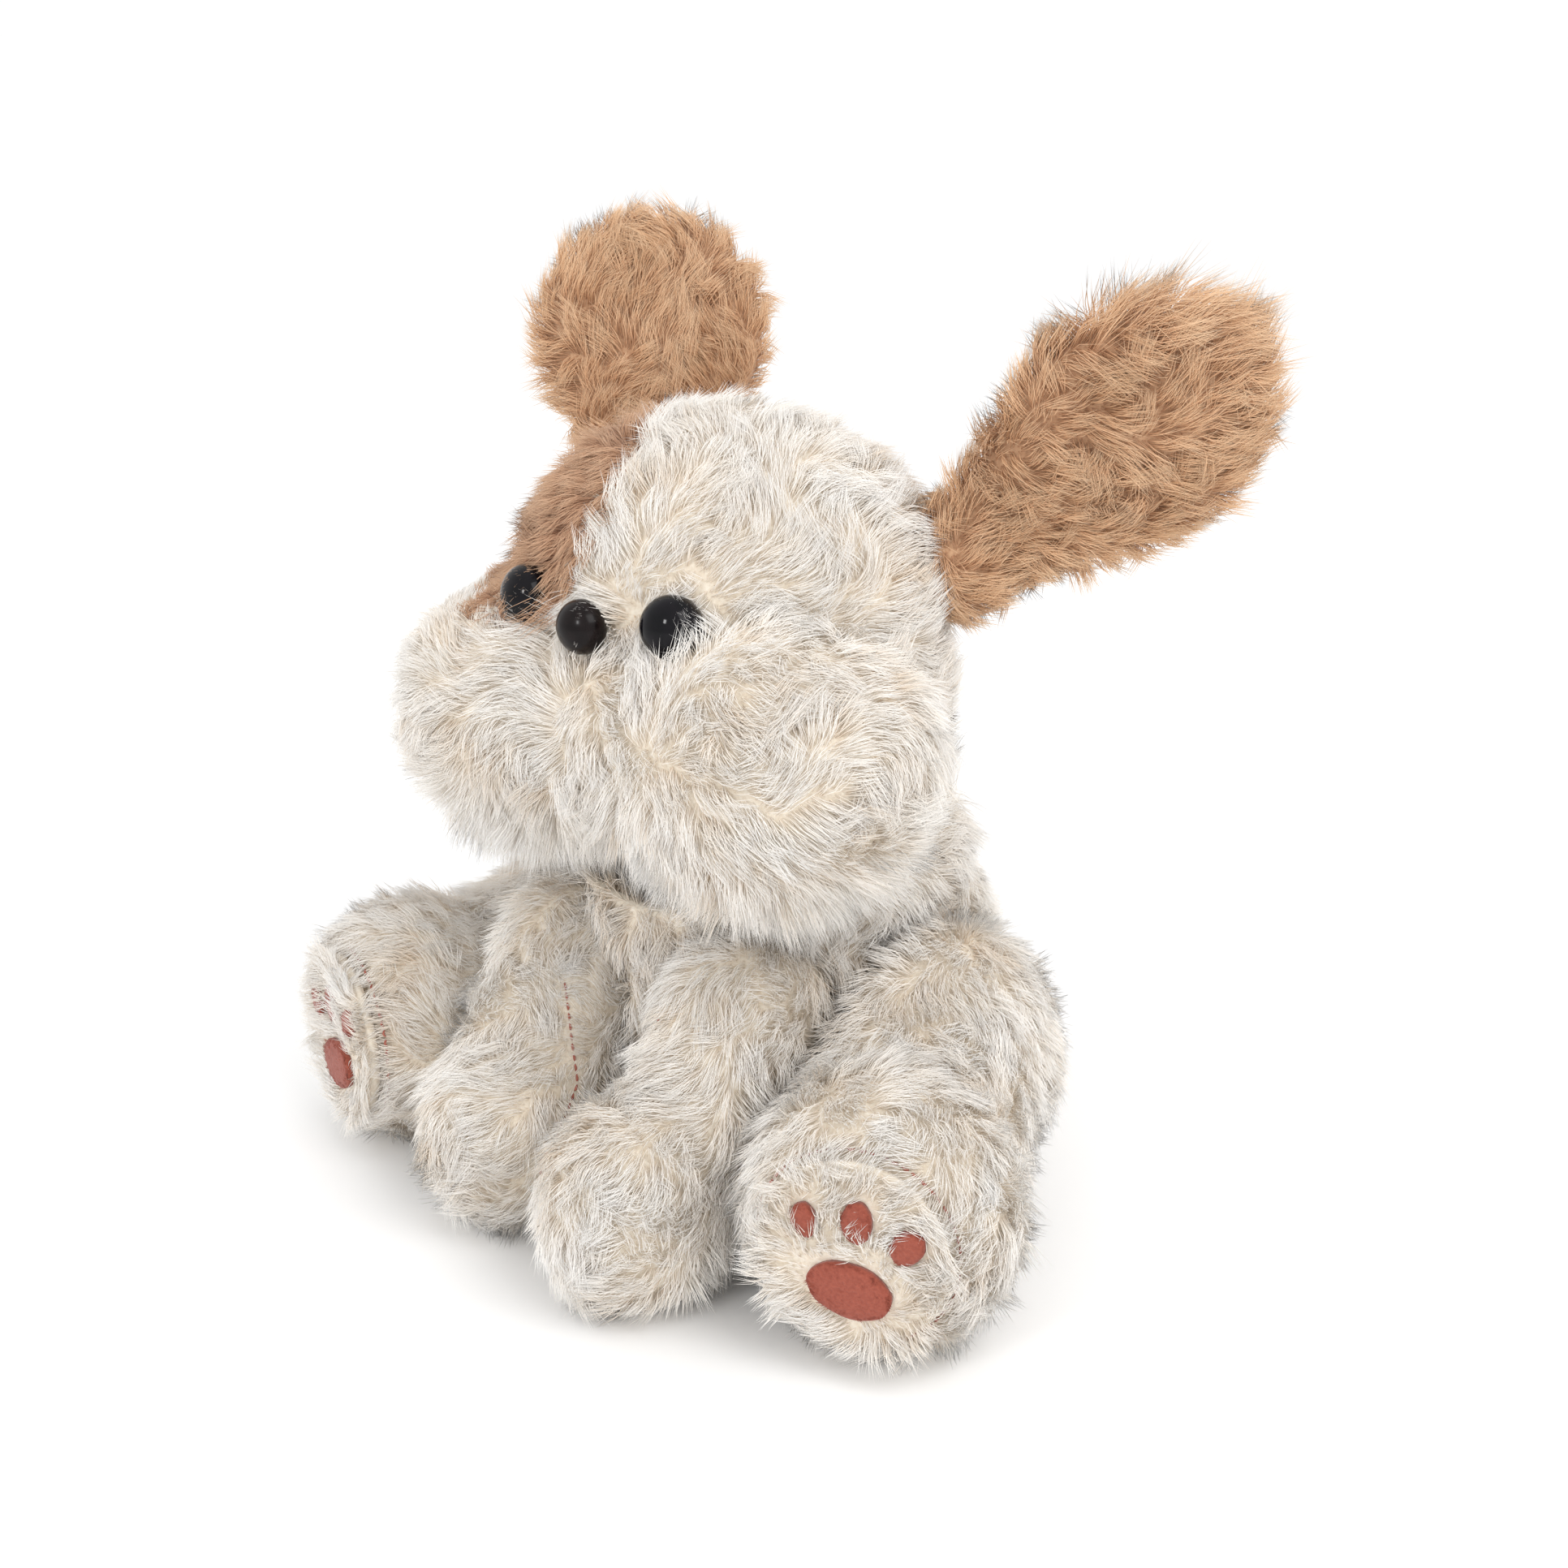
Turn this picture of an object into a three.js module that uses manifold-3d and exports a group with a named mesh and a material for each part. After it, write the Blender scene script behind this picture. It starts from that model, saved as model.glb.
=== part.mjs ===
// A seated plush dog, millimetres, +Z up. The dog faces -Y and its left side is +X.
// Every soft piece is a sewn skin round its own stuffing. Limbs, ears, tail and head each
// turn about a ball that sits in a hollow of the piece they are sewn to.

import * as THREE from 'three';
import { mergeVertices } from 'three/addons/utils/BufferGeometryUtils.js';
import Module from 'manifold-3d';

const wasm = await Module();
wasm.setup();

// ---- Driving dimensions -------------------------------------------------------------

const SKIN = 3; // backing cloth and the dense foot of the pile
const GAP = 0.5; // between touching pieces
const SWING_GAP = 1.2; // between pieces that turn against each other
const CENTRE_SHIFT = [0, 13.5, 0]; // puts the middle of the outline over the origin

const SIDES = { left: 1, right: -1 };

const COLOURS = {
  cream: 0xe9e2d4,
  tan: 0xc49a6c,
  patch: 0xb08a68,
  filling: 0xf4f3ef,
  pellets: 0xcfd3d6,
  bead: 0x0b0a0b,
  felt: 0xd9776a,
  thread: 0xb4685a,
  washer: 0xdedede,
};

const TORSO = [
  { at: [0, -10, 84], radii: [51, 47, 46] }, // chest and nape
  { at: [0, -2, 54], radii: [59, 53, 56.5] }, // belly and seat
];
const PELLET_LEVEL = 30;

const HEAD = [
  { at: [0, -20, 156], radii: [54.5, 47.5, 43] }, // skull
  { at: [0, -21, 132], radii: [57, 46, 36] }, // jaw
];
const CHEEK = { at: [35, -46, 128.5], radii: [40, 36, 34.5] };
const SNOUT = { at: [0, -49, 130], radii: [34, 30, 28] }; // fills in between the cheeks

const NECK_PIVOT = [0, -18, 138];
const CHIN_SWEEP = 67; // the torso stays outside this sphere in front of the neck
const NECK_DISH = 54.5; // and outside this one behind it
const CHIN_BACK = 30; // how far behind the neck the front sphere reaches
const NECK_ROLL = { radius: 18, inner: 46.5, outer: 65.5 }; // a disc between two spheres
const NECK_OPENING = 17;

const EYE = { at: [23.5, -67, 158.7], radius: 7.4, facing: [0.39, -0.92, 0.05] };
const NOSE = { at: [0, -73.5, 156], radius: 6.3, facing: [0, -1, 0] };
const STEM = { radius: 1.9, length: 22 };
const WASHER = { radius: 6, thickness: 1.6, depth: 18 }; // depth behind the bead's middle

const PATCH = { at: [-36, -50, 176], radii: [25, 38, 32] };

const EAR_PIVOT = [48, 4, 165];
const EAR_BALL = 14;
const EAR_LOBES = [
  { at: [0, 0, 24], radii: [19, 11.5, 24] },
  { at: [0, 0, 50], radii: [31, 13.5, 34.5] },
];
const EAR_LENGTHWISE = { left: [0.6, 0.4, 0.55], right: [-0.35, 0.39, 0.78] };
const EAR_ROLL = { left: -62, right: 0 }; // about its length, from lying level across

const FRONT_PIVOT = [28, -46, 60];
const FRONT_BALL = 22.5;
const SHIN = { at: [0, -12, -21], radii: [21.5, 22.5, 30] };
const PAWS = {
  left: { at: [-3.5, -36, -36], radii: [22.5, 25, 26] },
  right: { at: [-3.5, -28, -36], radii: [22.5, 25, 26] },
};

const HIND_PIVOT = [50, -2, 38];
const HIP_PLANE = 46.8; // the hind legs lie outside it, the rest of the dog inside
const HIP_RADIUS = 47; // how much of the torso's side the hip lies flat against
const HAUNCH = { at: [6, -8, 4], radii: [27, 36, 36] };
const THIGH = { at: [15, -30, -4], radii: [28, 32, 32] };
const FOOT = { at: [28, -56, -6], radii: [32, 30, 32.5], facing: 20, sole: 20 };

const SOLE = { radius: 22, depth: 3 };
const PAD_DEPTH = 1.6;
const PADS = {
  main_pad: { at: [0, -8], radii: [9.8, 6.6], turn: -10 },
  inner_toe_pad: { at: [-10.5, 7.5], radii: [2.9, 3.9], turn: 12 },
  middle_toe_pad: { at: [1.5, 10], radii: [3.6, 5], turn: 0 },
  outer_toe_pad: { at: [13, 6], radii: [4, 4], turn: 0 },
};

const TAIL_PIVOT = [0, 47, 30];
const TAIL_BALL = 12;
const TAIL = { at: [0, 17, 3], radii: [10.5, 16, 10.5] };

const THREAD = 0.9; // radius
const SEAM_ANGLES = { low: -12, high: 33, step: 9 }; // the closing seam's stretch of the back
const LEG_SEAM = { low: -40, high: 2, facing: 61, steps: 6 }; // heights, and its turn inward

// ---- Solids ---------------------------------------------------------------------------

const AROUND = 12;
const RINGS = 8;

function toSolid(geometry) {
  const bare = geometry.clone();
  bare.deleteAttribute('normal');
  bare.deleteAttribute('uv');
  const merged = mergeVertices(bare, 1e-4);
  return new wasm.Manifold(new wasm.Mesh({
    numProp: 3,
    vertProperties: new Float32Array(merged.attributes.position.array),
    triVerts: new Uint32Array(merged.index.array),
  }));
}

function toGeometry(solid) {
  const { vertProperties, triVerts } = solid.getMesh();
  const geometry = new THREE.BufferGeometry();
  geometry.setAttribute('position', new THREE.BufferAttribute(vertProperties, 3));
  geometry.setIndex(new THREE.BufferAttribute(triVerts, 1));
  geometry.computeVertexNormals();
  return geometry;
}

const LARGE = 300;

function block(at) {
  const shape = new THREE.BoxGeometry(2 * LARGE, 2 * LARGE, 2 * LARGE);
  return toSolid(shape.translate(...at));
}

// An ellipsoid, grown or shrunk by the same amount all round.
function lobe({ at, radii, turn = 0 }, grow = 0) {
  const shape = new THREE.SphereGeometry(1, AROUND, RINGS);
  shape.rotateX(Math.PI / 2);
  shape.scale(...radii.map((radius) => radius + grow));
  shape.rotateZ(THREE.MathUtils.degToRad(turn));
  shape.translate(...at);
  return toSolid(shape);
}

function ball(at, radius) {
  return lobe({ at, radii: [radius, radius, radius] });
}

function join(solids) {
  return solids.reduce((whole, solid) => whole.add(solid));
}

function lobes(list, grow = 0) {
  return join(list.map((item) => lobe(item, grow)));
}

// The parts of a solid over and under a height.
function above(solid, height) {
  return solid.intersect(block([0, 0, height + LARGE]));
}

function below(solid, height) {
  return solid.intersect(block([0, 0, height - LARGE]));
}

// A round rod whose middle is at a point, along a direction.
function rod(at, direction, radius, length, sides = 16) {
  const shape = new THREE.CylinderGeometry(radius, radius, length, sides);
  const turn = new THREE.Quaternion();
  turn.setFromUnitVectors(new THREE.Vector3(0, 1, 0), new THREE.Vector3(...direction).normalize());
  shape.applyQuaternion(turn);
  shape.translate(...at);
  return toSolid(shape);
}

// A thread laid along a smooth line through a few points.
function thread(points) {
  const path = new THREE.CatmullRomCurve3(points.map((point) => new THREE.Vector3(...point)));
  const section = new THREE.Shape();
  section.absarc(0, 0, THREAD, 0, Math.PI * 2);
  return toSolid(new THREE.ExtrudeGeometry(section, {
    curveSegments: 3,
    steps: 3 * (points.length - 1),
    extrudePath: path,
    bevelEnabled: false,
  }));
}

// A flat oval whose front is at z = thickness.
function oval(radii, thickness, turn = 0) {
  const outline = new THREE.Shape();
  const roll = THREE.MathUtils.degToRad(turn);
  outline.absellipse(0, 0, radii[0], radii[1], 0, Math.PI * 2, false, roll);
  return toSolid(new THREE.ExtrudeGeometry(outline, {
    curveSegments: 10,
    depth: thickness,
    bevelEnabled: false,
  }));
}

function piece(name, solid, colour, roughness = 0.95) {
  const material = new THREE.MeshStandardMaterial({
    color: COLOURS[colour],
    roughness,
    metalness: 0,
  });
  const mesh = new THREE.Mesh(toGeometry(solid), material);
  mesh.name = name;
  return mesh;
}

function flipped(point, side) {
  return [point[0] * side, point[1], point[2]];
}

function onSide({ at, radii, turn = 0 }, side) {
  return { at: flipped(at, side), radii, turn: turn * side };
}

function groupAt(pivot, ...pieces) {
  const group = new THREE.Group();
  group.position.set(...pivot);
  group.add(...pieces);
  return group;
}

// ---- Shared outlines ------------------------------------------------------------------

function slab(lowX, highX) {
  const shape = new THREE.BoxGeometry(highX - lowX, LARGE * 2, LARGE * 2);
  shape.translate((lowX + highX) / 2, 0, 0);
  return toSolid(shape);
}

// Everything inside the flat faces that the hind legs lie against.
function hipCut(solid) {
  return Object.values(SIDES).reduce((left, side) => {
    const centre = HIP_PLANE - SWING_GAP + LARGE / 2;
    const [, y, z] = HIND_PIVOT;
    const hollow = rod([side * centre, y, z], [1, 0, 0], HIP_RADIUS, LARGE, 28);
    return left.subtract(hollow);
  }, solid);
}

// The room in the top of the torso that the head and the neck roll turn in.
function neckDish() {
  const [x, y, z] = NECK_PIVOT;
  const chin = ball(NECK_PIVOT, CHIN_SWEEP).intersect(block([0, y + CHIN_BACK - LARGE, 0]));
  const roll = NECK_ROLL.radius + SWING_GAP;
  const well = rod([x, y, z - CHIN_SWEEP / 2], [0, 0, 1], roll, CHIN_SWEEP, 24)
    .intersect(ball(NECK_PIVOT, CHIN_SWEEP));
  return ball(NECK_PIVOT, NECK_DISH).add(chin).add(well);
}

function torsoSolid(grow) {
  let solid = above(lobes(TORSO, grow), -grow);
  solid = solid.subtract(neckDish());
  solid = hipCut(solid);
  Object.entries(SIDES).forEach(([name, side]) => {
    solid = solid.subtract(ball(flipped(FRONT_PIVOT, side), FRONT_BALL + SWING_GAP));
    const leg = frontLegSolid(name, SWING_GAP).translate(flipped(FRONT_PIVOT, side));
    solid = solid.subtract(leg);
  });
  return solid.subtract(ball(TAIL_PIVOT, TAIL_BALL + SWING_GAP));
}

function headSolid(grow) {
  let solid = lobes(HEAD, grow);
  Object.values(SIDES).forEach((side) => {
    solid = solid.subtract(ball(flipped(EAR_PIVOT, side), EAR_BALL + SWING_GAP));
  });
  return solid;
}

function frontLegSolid(name, grow) {
  const side = SIDES[name];
  const parts = [SHIN, PAWS[name]].map((item) => onSide(item, side));
  parts.push({ at: [0, 0, 0], radii: [FRONT_BALL, FRONT_BALL, FRONT_BALL] });
  const floor = -FRONT_PIVOT[2] - grow;
  const inner = 1 - FRONT_PIVOT[0] - grow;
  const outer = HIP_PLANE - SWING_GAP - FRONT_PIVOT[0] + grow;
  const range = side > 0 ? slab(inner, outer) : slab(-outer, -inner);
  return above(lobes(parts, grow), floor).intersect(range);
}

// ---- Bodies -----------------------------------------------------------------------------

// The closing seam runs up the middle of the back, over the belly lobe.
function backSeam() {
  const { at: [, y, z], radii: [, depth, height] } = TORSO[1];
  const reach = depth + THREAD + GAP;
  const rise = height + THREAD + GAP;
  const points = [];
  for (let angle = SEAM_ANGLES.low; angle <= SEAM_ANGLES.high; angle += SEAM_ANGLES.step) {
    const turn = THREE.MathUtils.degToRad(angle);
    points.push([0, y + reach * Math.cos(turn), z + rise * Math.sin(turn)]);
  }
  return thread(points);
}

function torso() {
  const skin = torsoSolid(0).subtract(lobesAbove(TORSO, SKIN));
  const filling = torsoSolid(-SKIN - GAP);
  const level = PELLET_LEVEL;
  return groupAt(
    [0, 0, 0],
    piece('torso_skin', skin, 'cream'),
    piece('torso_stuffing', above(filling, level + GAP), 'filling'),
    piece('pellet_bag', below(filling, level), 'pellets'),
    piece('back_closing_seam', backSeam(), 'thread'),
  );
}

// The hollow of a skin: its lobes drawn in by the cloth's thickness.
function lobesAbove(list, inset) {
  return above(lobes(list, -inset), inset);
}

function neck() {
  const disc = rod(NECK_PIVOT, [0, 0, 1], NECK_ROLL.radius, LARGE, 24)
    .intersect(ball(NECK_PIVOT, NECK_ROLL.outer))
    .subtract(ball(NECK_PIVOT, NECK_ROLL.inner));
  return groupAt([0, 0, 0], piece('neck_roll', below(disc, NECK_PIVOT[2]), 'filling'));
}

function beads() {
  return [
    { name: 'left_eye', item: EYE, side: SIDES.left },
    { name: 'right_eye', item: EYE, side: SIDES.right },
    { name: 'nose', item: NOSE, side: 1 },
  ].map(({ name, item, side }) => {
    const at = new THREE.Vector3(...flipped(item.at, side));
    const facing = new THREE.Vector3(...flipped(item.facing, side)).normalize();
    return { name, at, facing, radius: item.radius };
  });
}

// A rod that starts at a bead's middle and runs into the head.
function inward(bead, radius, length) {
  const middle = bead.at.clone().addScaledVector(bead.facing, -length / 2);
  return rod(middle.toArray(), bead.facing.toArray(), radius, length);
}

function head() {
  const pieces = [];
  const [x, y] = NECK_PIVOT;
  const chin = HEAD[1].at[2] - HEAD[1].radii[2];
  const opening = rod([x, y, chin], [0, 0, 1], NECK_OPENING, 30, 20);
  let skin = headSolid(0).subtract(lobes(HEAD, -SKIN)).subtract(opening);
  let stuffing = headSolid(-SKIN - GAP);
  const clear = [];

  beads().forEach((bead) => {
    const dome = ball(bead.at.toArray(), bead.radius).subtract(lobes(HEAD, GAP));
    const stem = inward(bead, STEM.radius, STEM.length);
    pieces.push(piece(bead.name, dome.add(stem), 'bead', 0.12));
    const hole = inward(bead, STEM.radius + GAP, STEM.length + 2);
    clear.push(ball(bead.at.toArray(), bead.radius + GAP));
    skin = skin.subtract(hole);
    const seatPoint = bead.at.clone().addScaledVector(bead.facing, -WASHER.depth).toArray();
    const disc = (grow) => rod(seatPoint, bead.facing.toArray(), WASHER.radius + grow,
      WASHER.thickness + 2 * grow);
    pieces.push(piece(`${bead.name}_washer`, disc(0).subtract(hole), 'washer', 0.4));
    stuffing = stuffing.subtract(hole).subtract(disc(GAP));
  });

  pieces.push(piece('eye_patch', skin.intersect(lobe(PATCH)), 'patch'));
  pieces.push(piece('head_skin', skin.subtract(lobe(PATCH, GAP)), 'cream'));
  pieces.push(piece('head_stuffing', stuffing, 'filling'));

  const beadRoom = join(clear);
  Object.entries(SIDES).forEach(([name, side]) => {
    const shapes = [onSide(CHEEK, side), SNOUT];
    const half = side > 0 ? slab(GAP, LARGE) : slab(-LARGE, -GAP);
    const outsideHead = (solid) => solid.subtract(lobes(HEAD, GAP)).intersect(half);
    const hollow = lobes(shapes, -SKIN);
    const cover = outsideHead(lobes(shapes)).subtract(hollow).subtract(beadRoom);
    const filling = outsideHead(lobes(shapes, -SKIN - GAP)).subtract(beadRoom);
    pieces.push(piece(`${name}_cheek_skin`, cover, 'cream'));
    pieces.push(piece(`${name}_cheek_stuffing`, filling, 'filling'));
  });
  return groupAt([0, 0, 0], ...pieces);
}

function ear(name) {
  const side = SIDES[name];
  const along = new THREE.Vector3(...EAR_LENGTHWISE[name]).normalize();
  const across = new THREE.Vector3(along.y, -along.x, 0).normalize();
  across.applyAxisAngle(along, THREE.MathUtils.degToRad(EAR_ROLL[name]));
  const facing = new THREE.Vector3().crossVectors(along, across);
  const turn = new THREE.Matrix4().makeBasis(across, facing, along);
  const root = { at: [0, 0, 0], radii: [EAR_BALL, EAR_BALL, EAR_BALL] };
  const whole = lobes([root, ...EAR_LOBES]);
  const filling = lobes(EAR_LOBES, -SKIN - GAP);
  const shell = whole.subtract(lobes(EAR_LOBES, -SKIN));
  const upper = block([0, -LARGE - GAP / 2, 0]);
  const lower = block([0, LARGE + GAP / 2, 0]);
  const group = groupAt(
    flipped(EAR_PIVOT, side),
    piece(`${name}_ear_upper_panel`, shell.intersect(upper), 'tan'),
    piece(`${name}_ear_lower_panel`, shell.intersect(lower), 'tan'),
    piece(`${name}_ear_batting`, filling, 'filling'),
  );
  group.quaternion.setFromRotationMatrix(turn);
  return group;
}

// How far out an ellipsoid's surface lies at a height, along a level direction from a point.
function reachOf({ at, radii }, from, direction) {
  const start = from.map((value, index) => (value - at[index]) / radii[index]);
  const step = direction.map((value, index) => value / radii[index]);
  const dot = (one, two) => one[0] * two[0] + one[1] * two[1] + one[2] * two[2];
  const [a, b, c] = [dot(step, step), dot(start, step), dot(start, start) - 1];
  const inside = b * b - a * c;
  return inside > 0 ? (Math.sqrt(inside) - b) / a : 0;
}

// The stitched line down the inner front of a front leg.
function legSeam(name) {
  const side = SIDES[name];
  const shapes = [SHIN, PAWS[name]].map((item) => onSide(item, side));
  const turn = THREE.MathUtils.degToRad(LEG_SEAM.facing);
  const direction = [-side * Math.sin(turn), -Math.cos(turn), 0];
  const [top, foot] = shapes.map((shape) => shape.at);
  const points = [];
  for (let step = 0; step <= LEG_SEAM.steps; step += 1) {
    const height = THREE.MathUtils.lerp(LEG_SEAM.low, LEG_SEAM.high, step / LEG_SEAM.steps);
    const down = THREE.MathUtils.clamp((top[2] - height) / (top[2] - foot[2]), 0, 1);
    const axis = [top[0] + (foot[0] - top[0]) * down, top[1] + (foot[1] - top[1]) * down, height];
    const reach = Math.max(...shapes.map((shape) => reachOf(shape, axis, direction)));
    const out = reach + THREAD + GAP / 2;
    points.push(axis.map((value, index) => value + direction[index] * out));
  }
  return thread(points);
}

function frontLeg(name) {
  const side = SIDES[name];
  const outside = frontLegSolid(name, 0);
  const inside = frontLegSolid(name, -SKIN);
  const mouth = rod([0, 8, 0], [0, 1, 0], 8, 40);
  return groupAt(
    flipped(FRONT_PIVOT, side),
    piece(`${name}_front_leg_skin`, outside.subtract(inside).subtract(mouth), 'cream'),
    piece(`${name}_front_leg_stuffing`, frontLegSolid(name, -SKIN - GAP), 'filling'),
    piece(`${name}_front_leg_seam`, legSeam(name), 'thread'),
  );
}

function hindLeg(name) {
  const side = SIDES[name];
  const shapes = [HAUNCH, THIGH, FOOT].map((item) => onSide(item, side));
  const face = new THREE.Group();
  const turn = THREE.MathUtils.degToRad(FOOT.facing * side);
  const toFace = new THREE.Matrix4().makeRotationZ(turn)
    .multiply(new THREE.Matrix4().makeRotationX(Math.PI / 2));
  const outward = new THREE.Vector3(0, 0, 1).transformDirection(toFace);
  const middle = new THREE.Vector3(...flipped(FOOT.at, side)).addScaledVector(outward, FOOT.sole);

  const body = (grow) => {
    const inner = HIP_PLANE - grow - HIND_PIVOT[0];
    const half = side > 0 ? slab(inner, LARGE) : slab(-LARGE, -inner);
    const behindSole = new THREE.BoxGeometry(LARGE, LARGE, LARGE);
    behindSole.translate(0, 0, grow - LARGE / 2);
    behindSole.applyMatrix4(toFace);
    behindSole.translate(...middle.toArray());
    return above(lobes(shapes, grow), -HIND_PIVOT[2] - grow)
      .intersect(half)
      .intersect(toSolid(behindSole));
  };
  const mouth = rod([0, 0, 0], [1, 0, 0], 9, 30);
  const pads = Object.entries(PADS).map(([part, { at, radii, turn: roll }]) => {
    const solid = oval(radii, PAD_DEPTH, roll * side);
    const pad = piece(`${name}_${part}`, solid, 'felt', 0.9);
    pad.position.set(at[0] * side, at[1], SOLE.depth + 2 * GAP);
    return pad;
  });
  const sole = piece(`${name}_sole`, oval([SOLE.radius, SOLE.radius], SOLE.depth), 'cream');
  sole.position.z = GAP;
  const stitching = new THREE.TorusGeometry(SOLE.radius + THREAD + GAP, THREAD, 6, 28);
  const seam = piece(`${name}_sole_seam`, toSolid(stitching), 'thread');
  seam.position.z = THREAD + GAP;
  face.add(sole, seam, ...pads);
  face.position.copy(middle);
  face.quaternion.setFromRotationMatrix(toFace);
  return groupAt(
    flipped(HIND_PIVOT, side),
    piece(`${name}_hind_leg_skin`, body(0).subtract(body(-SKIN)).subtract(mouth), 'cream'),
    piece(`${name}_hind_leg_stuffing`, body(-SKIN - GAP), 'filling'),
    face,
  );
}

function tail() {
  const root = { at: [0, 0, 0], radii: [TAIL_BALL, TAIL_BALL, TAIL_BALL] };
  const whole = lobes([root, TAIL]);
  const mouth = rod([0, -8, 0], [0, 1, 0], 4, 14);
  return groupAt(
    TAIL_PIVOT,
    piece('tail_skin', whole.subtract(lobes([root, TAIL], -SKIN)).subtract(mouth), 'tan'),
    piece('tail_stuffing', lobes([root, TAIL], -SKIN - GAP), 'filling'),
  );
}

const dog = new THREE.Group();
dog.position.set(...CENTRE_SHIFT);
dog.add(torso(), neck(), head(), tail());
Object.keys(SIDES).forEach((name) => {
  dog.add(ear(name), frontLeg(name), hindLeg(name));
});

export default dog;
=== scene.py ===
"""A seated plush dog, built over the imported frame: sewn skins grown with tufted fur, glossy beads for
the eyes and nose, felt paw pads and stitched seams. Shapes are in millimetres until a mesh is made."""

import itertools
import math

import bpy
import numpy as np
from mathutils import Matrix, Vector
from mathutils.kdtree import KDTree


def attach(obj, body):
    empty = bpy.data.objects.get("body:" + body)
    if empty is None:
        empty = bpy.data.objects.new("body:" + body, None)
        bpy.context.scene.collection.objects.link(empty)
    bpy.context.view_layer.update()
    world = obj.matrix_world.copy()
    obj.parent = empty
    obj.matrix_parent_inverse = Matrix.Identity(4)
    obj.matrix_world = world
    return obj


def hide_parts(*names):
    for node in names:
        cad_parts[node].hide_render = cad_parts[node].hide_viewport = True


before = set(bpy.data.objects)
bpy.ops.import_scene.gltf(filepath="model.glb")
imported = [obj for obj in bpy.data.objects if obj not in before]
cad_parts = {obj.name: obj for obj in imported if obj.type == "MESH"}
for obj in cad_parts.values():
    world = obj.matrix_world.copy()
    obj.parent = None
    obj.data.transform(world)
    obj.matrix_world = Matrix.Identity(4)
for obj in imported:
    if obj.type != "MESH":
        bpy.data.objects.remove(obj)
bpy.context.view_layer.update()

MM = 0.001
SHIFT = np.array([0.0, 13.5, 0.0])  # the frame's own offset from the shapes below
FLOOR = 0.3  # nothing hangs lower than this
SIDES = {"left": 1, "right": -1}

# ---- Driving dimensions -------------------------------------------------------------------------

UNDER = 2.2  # how far the cloth lies inside the CAD outline, which holds the foot of the pile

CHEST = ([0, -10, 84], [51, 47, 46])
BELLY = ([0, -2, 54], [59, 53, 56.5])
SKULL = ([0, -20, 156], [54.5, 47.5, 43])
JAW = ([0, -21, 132], [57, 46, 36])
CHEEK = ([35, -46, 128.5], [40, 36, 34.5])
SNOUT = ([0, -49, 130], [34, 30, 28])
PATCH = ([-36, -50, 176], [25, 38, 32])
UNDER_PATCH = ([-62, -66, 172], [30, 30, 25])  # the right cheek falls away below the patched eye

NECK = [0, -18, 138]
NECK_DISH = 54.5
CHIN_SWEEP = 67
CHIN_BACK = 30

EAR_ROOT = [48, 4, 165]
EAR_LOBES = [([0, 0, 0], [14, 14, 14]), ([0, 0, 24], [19, 11.5, 24]), ([0, 0, 50], [31, 13.5, 34.5])]
EAR_ALONG = {"left": [0.6, 0.4, 0.55], "right": [-0.35, 0.39, 0.78]}
EAR_ROLL = {"left": -62, "right": 0}  # about its length, from lying level across

FRONT_ROOT = [28, -46, 60]
FRONT_BALL = 22.5
SHIN = ([0, -12, -21], [21.5, 22.5, 30])
PAWS = {
    "left": ([-3.5, -36, -36], [22.5, 25, 26]),
    "right": ([-3.5, -28, -36], [22.5, 25, 26]),
}
FRONT_INNER = 1
FRONT_OUTER = 45.6

HIND_ROOT = [50, -2, 38]
HIP_PLANE = 46.8
HIP_RADIUS = 46  # the torso's side is flat this far round the hip
HIP_GAP = 0.9
HAUNCH = ([6, -8, 4], [27, 36, 36])
THIGH = ([15, -30, -4], [28, 32, 32])
FOOT = ([28, -56, -6], [32, 30, 32.5])
FOOT_FACING = 20
SOLE_OUT = 20

TAIL_ROOT = [0, 47, 30]
TAIL_LOBES = [([0, 0, 0], [12, 12, 12]), ([0, 17, 3], [10.5, 16, 10.5])]

EYE = {"at": [23.5, -67, 158.7], "facing": [0.39, -0.92, 0.05], "radius": 7.4}
NOSE = {"at": [0, -73.5, 156], "facing": [0, -1, 0], "radius": 6.3}


# ---- Solid shapes as distance fields ------------------------------------------------------------


def flipped(point, side):
    return np.array([point[0] * side, point[1], point[2]], float)


def ellipsoid(at, radii, grow=0.0):
    """A field that is the distance to an ellipsoid, near enough, and negative inside it."""
    centre = np.array(at, float)
    size = np.array(radii, float) + grow

    def field(p):
        q = (p - centre) / size
        near = np.linalg.norm(q, axis=1)
        return near * (near - 1) / np.maximum(np.linalg.norm(q / size, axis=1), 1e-9)

    return field


def half_space(at, normal):
    """Negative on the side that the normal points away from."""
    n = np.array(normal, float)
    n = n / np.linalg.norm(n)
    offset = float(n @ np.array(at, float))
    return lambda p: p @ n - offset


def melt(fields, soft=6.0):
    """The union of several fields, with the creases between them filled a little."""

    def field(p):
        total = fields[0](p)
        for other in fields[1:]:
            value = other(p)
            blend = np.clip(0.5 + 0.5 * (value - total) / soft, 0, 1)
            total = value * (1 - blend) + total * blend - soft * blend * (1 - blend)
        return total

    return field


def trim(base, *cutters, soft=3.0):
    """What is left of a field inside every cutter, with rounded edges."""
    turned = melt([lambda p, f=f: -f(p) for f in (base, *cutters)], soft)
    return lambda p: -turned(p)


def outside(field, gap=0.0):
    return lambda p: gap - field(p)


def moved(field, offset, turn=None):
    """The field in a frame placed at offset, whose axes are the columns of turn."""
    origin = np.array(offset, float)
    if turn is None:
        return lambda p: field(p - origin)
    return lambda p: field((p - origin) @ turn)


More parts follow.
